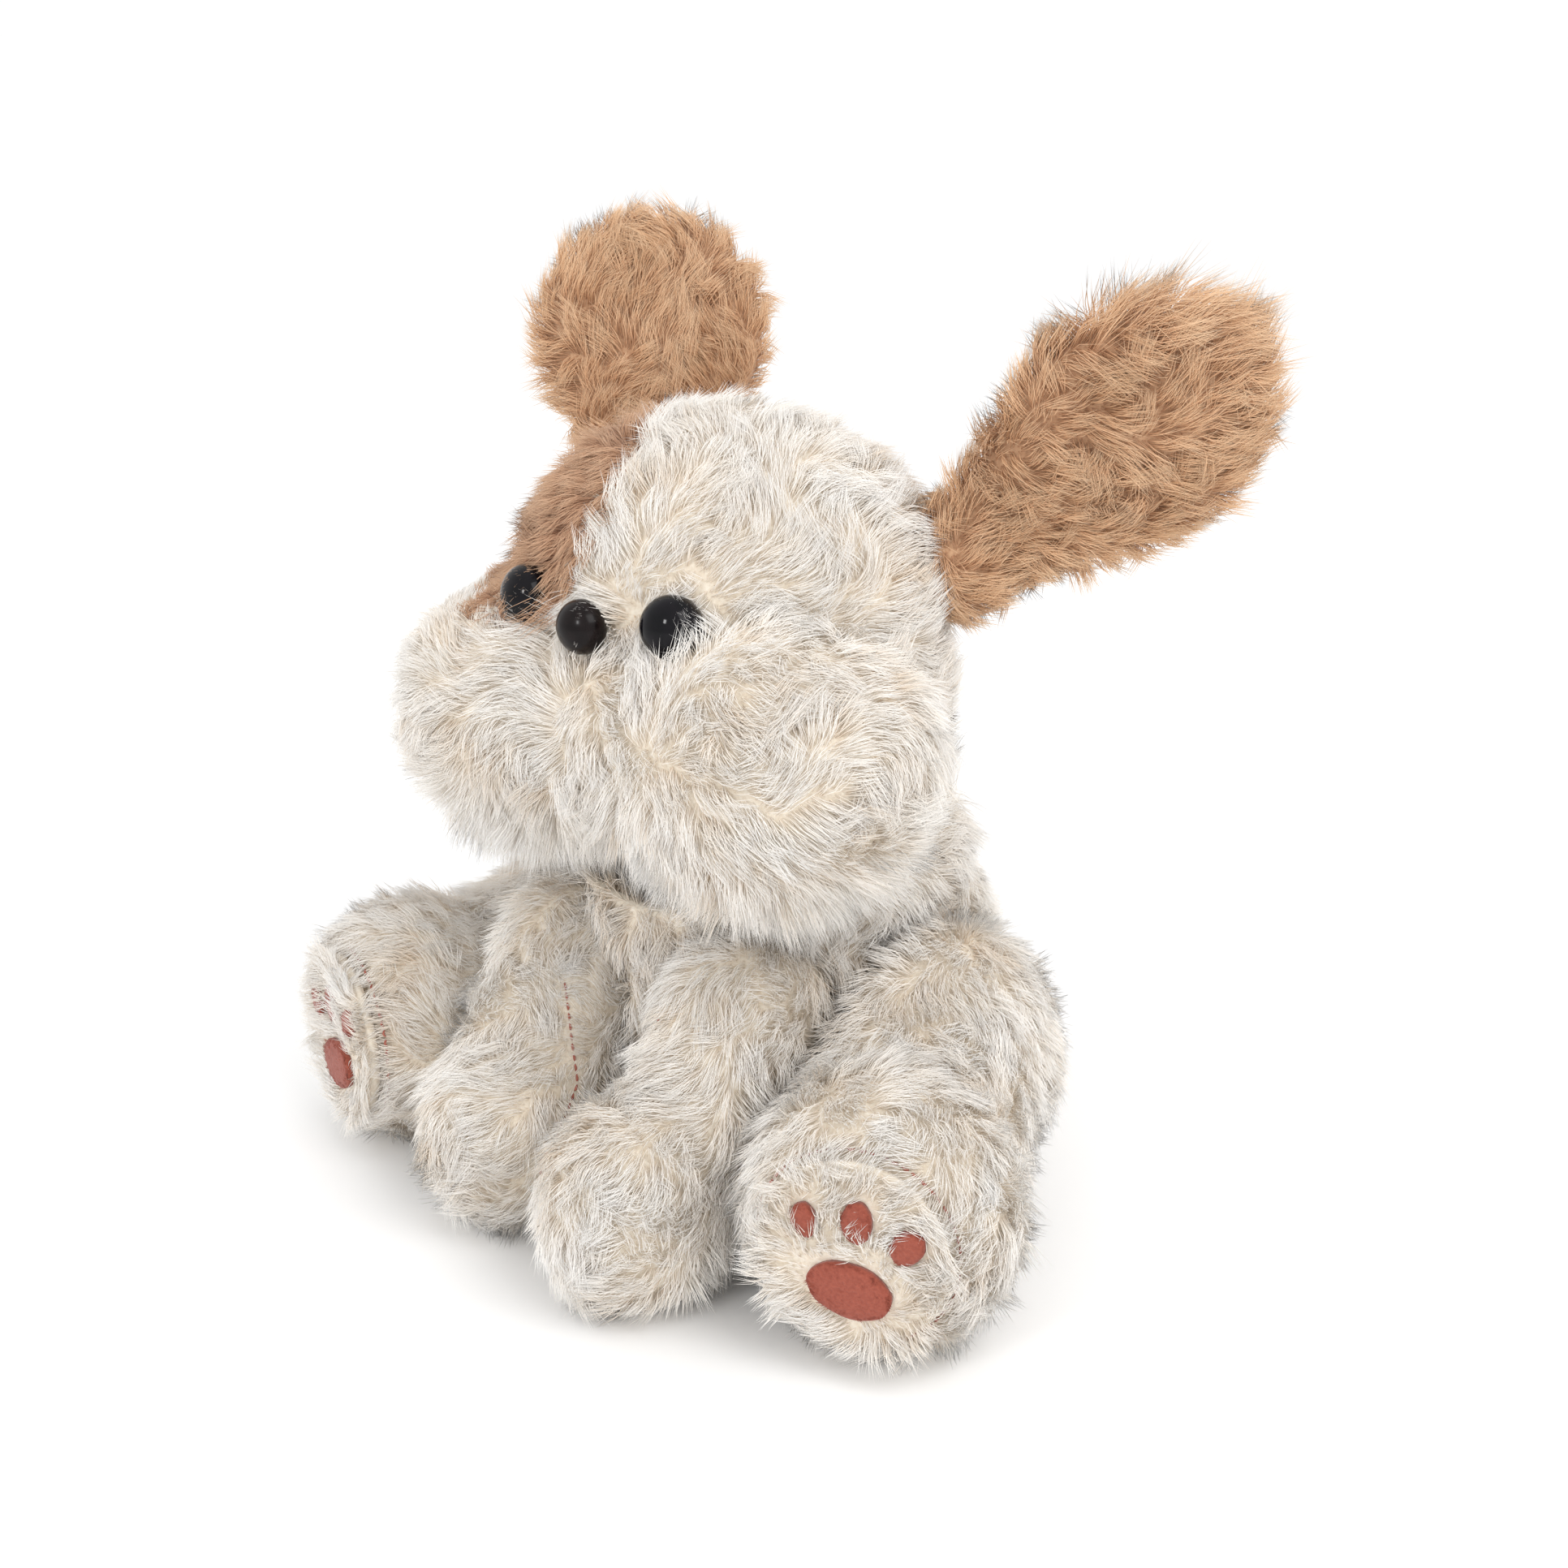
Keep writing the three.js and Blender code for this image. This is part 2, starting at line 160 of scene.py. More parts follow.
def slope(field, p, step=0.4):
    """The field's outward direction at each point."""
    columns = [
        field(p + step * axis) - field(p - step * axis) for axis in np.eye(3)
    ]
    grown = np.stack(columns, 1)
    return grown / np.maximum(np.linalg.norm(grown, axis=1, keepdims=True), 1e-9)


def surface(field, low, high, cell):
    """Points and quads of the closed surface on which a field is zero."""
    low, high = np.array(low, float), np.array(high, float)
    counts = np.ceil((high - low) / cell).astype(int) + 1
    lines = [low[k] + cell * np.arange(counts[k]) for k in range(3)]
    grid = np.stack(np.meshgrid(*lines, indexing="ij"), -1)
    values = field(grid.reshape(-1, 3)).reshape(counts)
    total = np.zeros((*(counts - 1), 3))
    number = np.zeros(counts - 1)
    crossings = []
    for axis in range(3):
        u, v = [k for k in range(3) if k != axis]
        first = [slice(None)] * 3
        first[axis] = slice(0, -1)
        second = [slice(None)] * 3
        second[axis] = slice(1, None)
        a, b = values[tuple(first)], values[tuple(second)]
        cross = (a < 0) != (b < 0)
        share = np.where(cross, a / np.where(a == b, 1, a - b), 0)
        point = grid[tuple(first)].copy()
        point[..., axis] += cell * share
        for du, dv in itertools.product((0, 1), repeat=2):
            part = [slice(None)] * 3
            part[u] = slice(du, counts[u] - 1 + du)
            part[v] = slice(dv, counts[v] - 1 + dv)
            here = cross[tuple(part)]
            total += np.where(here[..., None], point[tuple(part)], 0)
            number += here
        crossings.append((axis, u, v, cross, a < 0))
    index = -np.ones(counts - 1, int)
    used = number > 0
    index[used] = np.arange(used.sum())
    points = total[used] / number[used][:, None]
    quads = []
    for axis, u, v, cross, starts_inside in crossings:
        place = np.argwhere(cross)
        keep = (place[:, u] > 0) & (place[:, v] > 0)
        keep &= (place[:, u] < counts[u] - 1) & (place[:, v] < counts[v] - 1)
        place = place[keep]
        ring = []
        for du, dv in ((1, 1), (0, 1), (0, 0), (1, 0)):
            cell_at = place.copy()
            cell_at[:, u] -= du
            cell_at[:, v] -= dv
            ring.append(index[tuple(cell_at.T)])
        ring = np.stack(ring, 1)
        turn = starts_inside[tuple(place.T)] == (axis == 1)
        ring[turn] = ring[turn][:, ::-1]
        quads.append(ring)
    return points, np.concatenate(quads)


def settle(field, points, rounds=2):
    """Points drawn onto a field's zero surface."""
    for _ in range(rounds):
        points = points - field(points)[:, None] * slope(field, points)
    return points


# ---- The dog's skins ----------------------------------------------------------------------------


def unit(vector):
    vector = np.array(vector, float)
    return vector / np.linalg.norm(vector)


def placed(shape, side, origin=(0, 0, 0)):
    at, radii = shape
    return ellipsoid(flipped(at, side) + np.array(origin, float), radii, -UNDER)


def ear_axes(name):
    """Columns: across the ear, its underside, and lengthwise."""
    along = unit(EAR_ALONG[name])
    level = unit([along[1], -along[0], 0])
    roll = math.radians(EAR_ROLL[name])
    across = level * math.cos(roll) + np.cross(along, level) * math.sin(roll)
    return np.stack([across, np.cross(along, across), along], 1)


def ear_field(name):
    lobes = [ellipsoid(at, radii, -UNDER) for at, radii in EAR_LOBES]
    return moved(melt(lobes, 8), flipped(EAR_ROOT, SIDES[name]), ear_axes(name))


def front_field(name):
    side = SIDES[name]
    root = flipped(FRONT_ROOT, side)
    ball = ([0, 0, 0], [FRONT_BALL] * 3)
    lobes = [placed(shape, side, root) for shape in (ball, SHIN, PAWS[name])]
    return trim(
        melt(lobes, 8),
        half_space([side * (FRONT_INNER + UNDER), 0, 0], [-side, 0, 0]),
        half_space([side * (FRONT_OUTER - UNDER), 0, 0], [side, 0, 0]),
        half_space([0, 0, UNDER], [0, 0, -1]),
        soft=5,
    )


def sole_axes(side):
    """Columns: across the sole, up it, and straight out of it."""
    turn = math.radians(FOOT_FACING) * side
    return np.array(
        [
            [math.cos(turn), 0, math.sin(turn)],
            [math.sin(turn), 0, -math.cos(turn)],
            [0, 1, 0],
        ]
    )


def sole_centre(side):
    out = sole_axes(side)[:, 2]
    return flipped(HIND_ROOT, side) + flipped(FOOT[0], side) + SOLE_OUT * out


def hind_field(name):
    side = SIDES[name]
    root = flipped(HIND_ROOT, side)
    lobes = [placed(shape, side, root) for shape in (HAUNCH, THIGH, FOOT)]
    return trim(
        melt(lobes, 8),
        half_space([side * (HIP_PLANE + UNDER), 0, 0], [-side, 0, 0]),
        half_space([0, 0, UNDER], [0, 0, -1]),
        half_space(sole_centre(side), sole_axes(side)[:, 2]),
        soft=4,
    )


def hip_room(side):
    """Negative in the round hollow of the torso's side that a hind leg lies in."""
    middle = flipped(HIND_ROOT, side)

    def field(p):
        around = np.hypot(p[:, 1] - middle[1], p[:, 2] - middle[2]) - HIP_RADIUS
        return np.maximum(around, HIP_PLANE - HIP_GAP - side * p[:, 0])

    return field


def tail_field():
    return moved(melt([ellipsoid(at, radii, -UNDER) for at, radii in TAIL_LOBES], 6), TAIL_ROOT)


skull = melt([placed(shape, 1) for shape in (SKULL, JAW)], 10)
muzzle = melt([placed(SNOUT, 1), *[placed(CHEEK, side) for side in SIDES.values()]], 8)
muzzle = trim(muzzle, outside(ellipsoid(*UNDER_PATCH)), soft=5)
cheeks = {
    name: trim(muzzle, half_space([side * 0.8, 0, 0], [-side, 0, 0]), outside(skull, 0.8), soft=1.5)
    for name, side in SIDES.items()
}
fronts = {name: front_field(name) for name in SIDES}
hinds = {name: hind_field(name) for name in SIDES}
ears = {name: ear_field(name) for name in SIDES}
tail = tail_field()
neck_dish = melt(
    [
        ellipsoid(NECK, [NECK_DISH] * 3),
        trim(ellipsoid(NECK, [CHIN_SWEEP] * 3), half_space([0, NECK[1] + CHIN_BACK, 0], [0, 1, 0])),
    ],
    1,
)
trunk = trim(
    melt([placed(shape, 1) for shape in (CHEST, BELLY)], 10),
    half_space([0, 0, UNDER], [0, 0, -1]),
    outside(neck_dish, -2.5),
    *[outside(fronts[name], 2.5) for name in SIDES],
    *[outside(hip_room(side)) for side in SIDES.values()],
    outside(tail, 2),
    soft=1.5,
)
BODIES = {
    "torso": trunk,
    "head": melt([skull, *cheeks.values()], 2),
    "tail": tail,
    **{f"{name}_front_leg": fronts[name] for name in SIDES},
    **{f"{name}_hind_leg": hinds[name] for name in SIDES},
    **{f"{name}_ear": ears[name] for name in SIDES},
}


# ---- Making Blender meshes ----------------------------------------------------------------------


def new_object(name, points, faces, material, smooth=True):
    """A mesh object from points in millimetres."""
    mesh = bpy.data.meshes.new(name)
    placed_points = (np.asarray(points, float) + SHIFT) * MM
    mesh.from_pydata(placed_points.tolist(), [], [list(face) for face in faces])
    mesh.validate()
    if smooth:
        mesh.polygons.foreach_set("use_smooth", np.ones(len(mesh.polygons), bool))
    mesh.materials.append(material)
    ob = bpy.data.objects.new(name, mesh)
    bpy.context.scene.collection.objects.link(ob)
    return ob


# ---- Materials ----------------------------------------------------------------------------------


def new_material(name, roughness=0.9, **sockets):
    """A Principled material, its tree, and its shader, with even values set on the shader."""
    material = bpy.data.materials.new(name)
    material.use_nodes = True
    shader = material.node_tree.nodes["Principled BSDF"]
    shader.inputs["Roughness"].default_value = roughness
    for socket, value in sockets.items():
        shader.inputs[socket.replace("_", " ")].default_value = value
    return material, material.node_tree, shader


def ramp(tree, source, stops):
    """A colour ramp fed by a socket. Stops are (place, colour) pairs."""
    node = tree.nodes.new("ShaderNodeValToRGB")
    while len(node.color_ramp.elements) < len(stops):
        node.color_ramp.elements.new(0.5)
    for element, (place, colour) in zip(node.color_ramp.elements, stops):
        element.position = place
        element.color = (*colour, 1)
    tree.links.new(source, node.inputs["Fac"])
    return node.outputs["Color"]


def multiplied(tree, one, two):
    node = tree.nodes.new("ShaderNodeMix")
    node.data_type = "RGBA"
    node.blend_type = "MULTIPLY"
    node.inputs["Factor"].default_value = 1
    tree.links.new(one, node.inputs["A"])
    tree.links.new(two, node.inputs["B"])
    return node.outputs["Result"]


def noise(tree, scale, detail=3.0):
    """Noise over the object's own coordinates."""
    place = tree.nodes.new("ShaderNodeTexCoord")
    node = tree.nodes.new("ShaderNodeTexNoise")
    node.inputs["Scale"].default_value = scale
    node.inputs["Detail"].default_value = detail
    tree.links.new(place.outputs["Object"], node.inputs["Vector"])
    return node.outputs["Fac"]


def bumped(tree, shader, height, strength, distance):
    node = tree.nodes.new("ShaderNodeBump")
    node.inputs["Strength"].default_value = strength
    node.inputs["Distance"].default_value = distance
    tree.links.new(height, node.inputs["Height"])
    tree.links.new(node.outputs["Normal"], shader.inputs["Normal"])


# Across this map lies the tint of a strand, and up it the way from root to tip. The export bakes onto
# a map of this name, so the fur keeps its layout there.
FUR_MAP = "OFBake"


def fur_material(name, length_stops, tint_stops, sheen):
    material, tree, shader = new_material(
        name, roughness=0.75, Sheen_Weight=sheen, Sheen_Roughness=0.45, Specular_IOR_Level=0.25
    )
    place = tree.nodes.new("ShaderNodeUVMap")
    place.uv_map = FUR_MAP
    split = tree.nodes.new("ShaderNodeSeparateXYZ")
    tree.links.new(place.outputs["UV"], split.inputs["Vector"])
    along = ramp(tree, split.outputs["Y"], length_stops)
    tint = ramp(tree, split.outputs["X"], tint_stops)
    tree.links.new(multiplied(tree, along, tint), shader.inputs["Base Color"])
    return material


def cloth_material(name, dark, light, scale=900):
    """Backing cloth under the pile: a fine uneven nap."""
    material, tree, shader = new_material(name, roughness=0.95, Sheen_Weight=0.2)
    fine = noise(tree, scale, 4)
    tree.links.new(ramp(tree, fine, [(0.3, dark), (0.7, light)]), shader.inputs["Base Color"])
    bumped(tree, shader, fine, 0.5, 0.0006)
    return material


# Each fur's colours from root to tip, and the tints of its tufts. The darker roots are painted shade in the
# deep of the pile.
cream_fur = fur_material(
    "cream_fur",
    [
        # The dark warm root stop is painted shade: it darkens and warms the deep pile.
        (0.0, (0.88, 0.78, 0.66)),
        (0.3, (0.95, 0.90, 0.83)),
        (0.7, (0.98, 0.96, 0.93)),
        (1.0, (1.0, 0.99, 0.97)),
    ],
    [(0.0, (0.92, 0.83, 0.73)), (0.35, (0.97, 0.94, 0.905)), (1.0, (0.99, 0.985, 0.98))],
    0.2,
)
TAN_TINTS = [(0.0, (0.82, 0.76, 0.70)), (0.5, (0.95, 0.92, 0.90)), (1.0, (1.0, 1.0, 1.0))]
tan_fur = fur_material(
    "tan_fur",
    [
        (0.0, (0.50, 0.27, 0.15)),
        (0.4, (0.74, 0.46, 0.27)),
        (0.8, (0.88, 0.61, 0.39)),
        (1.0, (0.94, 0.71, 0.50)),
    ],
    TAN_TINTS,
    0.15,
)
patch_fur = fur_material(
    "patch_fur",
    [
        (0.0, (0.37, 0.19, 0.11)),
        (0.4, (0.54, 0.32, 0.20)),
        (0.8, (0.66, 0.43, 0.28)),
        (1.0, (0.74, 0.53, 0.38)),
    ],
    TAN_TINTS,
    0.15,
)
pad_fur = fur_material(
    "pad_flock",
    [(0.0, (0.25, 0.056, 0.033)), (1.0, (0.37, 0.09, 0.058))],
    [(0.0, (0.85, 0.82, 0.8)), (1.0, (1.0, 1.0, 1.0))],
    0.1,
)
cream_cloth = cloth_material("cream_cloth", (0.72, 0.62, 0.49), (0.86, 0.79, 0.68))
tan_cloth = cloth_material("tan_cloth", (0.44, 0.25, 0.14), (0.60, 0.37, 0.22))
patch_cloth = cloth_material("patch_cloth", (0.36, 0.20, 0.12), (0.50, 0.30, 0.19))
felt = cloth_material("pad_felt", (0.26, 0.056, 0.033), (0.34, 0.082, 0.05), 1400)
seam_thread = cloth_material("seam_thread", (0.34, 0.10, 0.07), (0.50, 0.18, 0.13), 2500)
filling_fibre = cloth_material("filling_fibre", (0.74, 0.74, 0.72), (0.90, 0.90, 0.88), 500)
pellet_cloth = cloth_material("pellet_cloth", (0.50, 0.53, 0.55), (0.66, 0.68, 0.70), 1200)


def plastic_material(name, dark, light, roughness, **sockets):
    material, tree, shader = new_material(name, roughness=roughness, **sockets)
    colour = ramp(tree, noise(tree, 300, 2), [(0.35, dark), (0.65, light)])
    tree.links.new(colour, shader.inputs["Base Color"])
    return material


bead_plastic = plastic_material(
    "bead_plastic", (0.002, 0.002, 0.003), (0.005, 0.004, 0.006), 0.1,
    Specular_IOR_Level=0.12, Coat_Weight=0.12, Coat_Roughness=0.03,
)
nose_plastic = plastic_material(
    "nose_plastic", (0.004, 0.002, 0.002), (0.009, 0.005, 0.005), 0.24,
    Specular_IOR_Level=0.14, Coat_Weight=0.08, Coat_Roughness=0.12,
)
washer_plastic = plastic_material("washer_plastic", (0.70, 0.70, 0.70), (0.78, 0.78, 0.77), 0.45)


# ---- Fur ----------------------------------------------------------------------------------------


def spread(points, quads, count, rng):
    """Random places on a quad mesh, evenly by area."""
    a, b, c, d = (points[quads[:, k]] for k in range(4))
    area = np.linalg.norm(np.cross(c - a, d - b), axis=1) / 2
    chosen = rng.choice(len(quads), count, p=area / area.sum())
    u, v = rng.random((2, count, 1))
    a, b, c, d = a[chosen], b[chosen], c[chosen], d[chosen]
    return (a * (1 - u) + b * u) * (1 - v) + (d * (1 - u) + c * u) * v


def area_of(points, quads):
    a, b, c, d = (points[quads[:, k]] for k in range(4))
    return float(np.linalg.norm(np.cross(c - a, d - b), axis=1).sum() / 2)


def ramped(values, start, end):
    """0 up to the start, 1 from the end on, and even between them."""
    return np.clip((values - start) / (end - start), 0, 1)


def waves(p, seed, length, count=6):
    """Smooth seeded noise, about -1 to 1, with hills about a length apart."""
    rng = np.random.default_rng(seed)
    total = np.zeros(len(p))
    for _ in range(count):
        direction = unit(rng.normal(size=3)) * 2 * math.pi / (length * rng.uniform(0.7, 1.5))
        total += np.sin(p @ direction + rng.uniform(0, 2 * math.pi))
    return total / math.sqrt(count)


def laid(vectors, normals):
    """Vectors with the part along the normals taken away, at unit length."""
    flat = vectors - (vectors * normals).sum(1, keepdims=True) * normals
    return flat / np.maximum(np.linalg.norm(flat, axis=1, keepdims=True), 1e-6)


def turned(vectors, normals, angle):
    """Vectors that lie across the normals, turned about them."""
    angle = angle[:, None]
    return vectors * np.cos(angle) + np.cross(normals, vectors) * np.sin(angle)


def nearest(centres, points):
    tree = KDTree(len(centres))
    for number, centre in enumerate(centres):
        tree.insert(centre, number)
    tree.balance()
    return np.array([tree.find(point)[1] for point in points])


LEVELS = np.array([0.0, 0.5, 1.0])  # where a strand's rings lie along it
WIDTHS = np.array([1.0, 0.8])


def strand_mesh(name, path, width, normals, tint, material):
    """Closed three-sided strands. path is strands x rings x 3, in millimetres."""
    count, rings = path.shape[:2]
    ahead = np.gradient(path, axis=1)
    ahead /= np.maximum(np.linalg.norm(ahead, axis=2, keepdims=True), 1e-9)
    side = np.cross(ahead, normals[:, None, :])
    side /= np.maximum(np.linalg.norm(side, axis=2, keepdims=True), 1e-9)
    up = np.cross(side, ahead)
    spokes = [(0.0, 1.0), (0.87, -0.5), (-0.87, -0.5)]
    body = path[:, :-1]
    size = (width[:, None] * WIDTHS[None, :])[..., None] / 2
    corners, facing = [], []
    for across, over in spokes:
        out = across * side[:, :-1] + over * up[:, :-1]
        corners.append(body + size * out)
        facing.append(out)
    ring_points = np.stack(corners, 2).reshape(count, -1, 3)
    ring_facing = np.stack(facing, 2).reshape(count, -1, 3)
    points = np.concatenate([ring_points, path[:, -1:]], 1)
    shade = np.concatenate([ring_facing, up[:, -1:]], 1) * 0.75 + normals[:, None, :] * 0.28
    shade /= np.linalg.norm(shade, axis=2, keepdims=True)
    each = points.shape[1]

    faces = []
    for ring in range(rings - 2):
        for spoke in range(3):
            after = (spoke + 1) % 3
            a, b = 3 * ring + spoke, 3 * ring + after
            faces += [(a, b, b + 3), (a, b + 3, a + 3)]
    top = 3 * (rings - 2)
    faces += [(top + spoke, top + (spoke + 1) % 3, each - 1) for spoke in range(3)]
    pattern = np.array(faces)
    triangles = (pattern[None] + each * np.arange(count)[:, None, None]).reshape(-1)

    mesh = bpy.data.meshes.new(name)
    mesh.vertices.add(count * each)
    mesh.vertices.foreach_set("co", ((points.reshape(-1, 3) + SHIFT) * MM).astype(np.float32).ravel())
    mesh.loops.add(len(triangles))
    mesh.loops.foreach_set("vertex_index", triangles.astype(np.int32))
    total = len(triangles) // 3
    mesh.polygons.add(total)
    mesh.polygons.foreach_set("loop_start", np.arange(0, 3 * total, 3, dtype=np.int32))
    mesh.polygons.foreach_set("use_smooth", np.ones(total, bool))
    mesh.update(calc_edges=True)

    levels = np.concatenate([np.repeat(LEVELS[:-1], 3), LEVELS[-1:]])
    spans = np.concatenate([np.tile([0.0, 0.5, 1.0], rings - 1), [0.5]])
    across = (np.floor(tint * 255)[:, None] + spans[None]) / 256
    strip = np.stack([across, np.broadcast_to(levels, across.shape)], 2).reshape(-1, 2)
    layer = mesh.uv_layers.new(name=FUR_MAP)
    layer.data.foreach_set("uv", strip[triangles].astype(np.float32).ravel())
    mesh.normals_split_custom_set_from_vertices(shade.reshape(-1, 3).tolist())
    mesh.materials.append(material)
    ob = bpy.data.objects.new(name, mesh)
    bpy.context.scene.collection.objects.link(ob)
    return ob


COAT = {
    "density": 1.9,  # strands to a square millimetre
    "length": 10.2,
    "width": 0.22,
    "lean": 60,  # degrees from straight out
    "tuft": 3.8,  # between tuft centres
    "gather": 0.44,  # how far the strands of a tuft come together
    "swirl": 62,  # degrees that the lie wanders over the body
    "stray": 27,  # degrees that one tuft differs from the next
}


INTO_NEIGHBOUR = 5  # how far a strand may reach past the skin of the body beside it
UNDER_NEIGHBOUR = 1.5  # roots deeper than this in another body grow nothing


def fur_paths(field, roots, comb, coat, seed, share=None, upright=None, others=(), clear_of=()):
    """The strands that grow from roots: paths, widths, skin directions and tints of the kept strands."""
    rng = np.random.default_rng(seed)
    normals = slope(field, roots)
    lie = laid(comb(roots), normals)
    wander = np.radians(coat["swirl"]) * waves(roots, seed + 1, 28)
    lie = turned(lie, normals, wander)

    area = len(roots) / coat["density"]
    centres = roots[rng.choice(len(roots), max(8, int(area / coat["tuft"] ** 2)), replace=False)]
    own = nearest(centres, roots)
    tufts = len(centres)
    tuft_normal = slope(field, centres)
    tuft_lie = laid(comb(centres), tuft_normal)
    tuft_turn = np.radians(coat["swirl"]) * waves(centres, seed + 1, 28)
    tuft_turn += np.radians(coat["stray"]) * rng.normal(size=tufts)
    tuft_lie = turned(tuft_lie, tuft_normal, tuft_turn)
    tuft_lean = np.radians(coat["lean"] + 10 * rng.normal(size=tufts))
    if upright is not None:
        tuft_lean *= 1 - upright(centres)
    tuft_length = coat["length"] * rng.uniform(0.78, 1.15, tufts)
    tuft_side = rng.normal(0, 0.22, (tufts, 1))
    if share is not None:
        tuft_length = tuft_length * share(centres)

    lean = tuft_lean[own] + np.radians(9) * rng.normal(size=len(roots))
    room = np.full(len(roots), 99.0)
    if others:
        room = np.min([other(roots) for other in others], axis=0)
    length = tuft_length[own] * rng.uniform(0.62, 1.06, len(roots))
    length = np.minimum(length, np.maximum(room, 0) + INTO_NEIGHBOUR)
    lie = laid(0.35 * lie + 0.65 * tuft_lie[own], normals)
    lie = turned(lie, normals, np.radians(12) * rng.normal(size=len(roots)))
    crosswise = np.cross(normals, lie)
    reach = (np.cos(lean)[:, None] * normals + np.sin(lean)[:, None] * lie) * length[:, None]
    tip = roots + reach + crosswise * tuft_side[own] * length[:, None]
    tuft_reach = np.cos(tuft_lean)[:, None] * tuft_normal + np.sin(tuft_lean)[:, None] * tuft_lie
    crest = centres + tuft_reach * tuft_length[:, None]
    gather = coat["gather"] * np.clip(length / np.maximum(tuft_length[own], 1e-6), 0, 1) ** 2
    pull = (gather * rng.uniform(0.45, 1.0, len(roots)))[:, None]
    tip = tip + (crest[own] - tip) * pull
    rise = 0.5 * length[:, None]
    first_lean = (lean * 0.55)[:, None]
    bend = roots + normals * rise * np.cos(first_lean) + lie * rise * np.sin(first_lean)
    bend = bend + (centres[own] + tuft_normal[own] * rise - bend) * pull * 0.45

    t = LEVELS[None, :, None]
    path = (1 - t) ** 2 * roots[:, None] + 2 * t * (1 - t) * bend[:, None] + t**2 * tip[:, None]
    path[:, :, 2] = np.maximum(path[:, :, 2], FLOOR + 0.6 * rng.random((len(roots), 1)))
    keep = room > -UNDER_NEIGHBOUR
    for middle, radius in clear_of:
        away = path - middle
        far = np.maximum(np.linalg.norm(away, axis=2, keepdims=True), 1e-6)
        keep &= far[:, 0, 0] > radius
        path = np.where(far < radius, middle + away / far * radius, path)
    shade = 0.58 + 0.22 * waves(roots, seed + 2, 24) + 0.12 * rng.normal(size=len(roots))
    shade += (0.12 * rng.normal(size=tufts))[own]
    width = coat["width"] * rng.uniform(0.75, 1.2, len(roots))
    return path[keep], width[keep], normals[keep], np.clip(shade, 0, 0.999)[keep]


MOST_STRANDS = 21000  # in one piece, which keeps it light to export


def grow(name, body, slot_name, material, field, roots, comb, coat=COAT, **how):
    """Fur pieces over one region of a body."""
    path, width, normals, tint = fur_paths(field, roots, comb, coat, **how)
    pieces = []
    parts = max(1, math.ceil(len(path) / MOST_STRANDS))
    order = np.argsort(path[:, 0, 2] + 0.001 * path[:, 0, 1])
    for number, chosen in enumerate(np.array_split(order, parts), 1):
        label = name if parts == 1 else f"{name}_{number}"
        ob = strand_mesh(label, path[chosen], width[chosen], normals[chosen], tint[chosen], material)
        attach(ob, body)
        pieces.append(ob)
    return pieces


def away_from(point, extra=(0, 0, 0)):
    """The fur lies away from a point, with a steady pull as well."""
    centre = np.array(point, float)
    pull = np.array(extra, float)

    def comb(p):
        out = p - centre
        return out / np.maximum(np.linalg.norm(out, axis=1, keepdims=True), 1e-6) + pull

    return comb


def skin(name, body, cloth, field, low, high, cell, nodes):
    """A sewn skin that stands for its CAD nodes."""
    points, quads = surface(field, low, high, cell)
    points = settle(field, points)
    ob = new_object(name, points, quads, cloth)
    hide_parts(*nodes)
    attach(ob, body)
    return points, quads


def others_of(body, *also_skip):
    return [field for name, field in BODIES.items() if name != body and name not in also_skip]


CELL = 2.5


def bushes(points, quads, seed, density=None):
    """Places for strands to grow all over a skin."""
    count = int((density or COAT["density"]) * area_of(points, quads))
    return spread(points, quads, count, np.random.default_rng(seed))


def distance_to(p, line):
    """How far points lie from the nearest of a line's close-set points."""
    return np.min([np.linalg.norm(p - stop, axis=1) for stop in line], axis=0)


def parted(line, near=1.2, far=7.0):
    """Fur is shorter beside a seam: the share of its length it keeps."""
    return lambda p: np.clip((distance_to(p, line) - near) / (far - near), 0.25, 1)


def onto(field, starts, directions, reach=90.0):
    """Where lines that start inside a field leave it."""
    starts, directions = np.array(starts, float), np.array(directions, float)
    near, far = np.zeros(len(starts)), np.full(len(starts), reach)
    for _ in range(24):
        middle = (near + far) / 2
        inside = field(starts + middle[:, None] * directions) < 0
        near, far = np.where(inside, middle, near), np.where(inside, far, middle)
    return starts + near[:, None] * directions


def denser(line, step=0.8):
    """Points close together along a line."""
    line = np.array(line, float)
    lengths = np.concatenate([[0], np.cumsum(np.linalg.norm(np.diff(line, axis=0), axis=1))])
    stops = np.linspace(0, lengths[-1], max(2, int(lengths[-1] / step)))
    return np.stack([np.interp(stops, lengths, line[:, k]) for k in range(3)], 1)


def tube(path, radius, sides=6):
    """Points and faces of a closed round tube along a path."""
    path = np.array(path, float)
    ahead = np.gradient(path, axis=0)
    ahead /= np.linalg.norm(ahead, axis=1, keepdims=True)
    side = np.cross(ahead, unit(np.cross(ahead[0], [0.3, 0.5, 0.8])))
    side /= np.linalg.norm(side, axis=1, keepdims=True)
    up = np.cross(side, ahead)
    size = radius * np.sin(np.linspace(0.35, math.pi - 0.35, len(path))) ** 0.5
    angles = np.linspace(0, 2 * math.pi, sides, endpoint=False)
    points = [
        centre + r * (math.cos(turn) * side[k] + math.sin(turn) * up[k])
        for k, (centre, r) in enumerate(zip(path, size))
        for turn in angles
    ]
    faces = []
    for ring in range(len(path) - 1):
        for k in range(sides):
            a, b = ring * sides + k, ring * sides + (k + 1) % sides
            faces.append((a, b, b + sides, a + sides))
    faces.append(tuple(range(sides))[::-1])
    faces.append(tuple((len(path) - 1) * sides + k for k in range(sides)))
    return points, faces


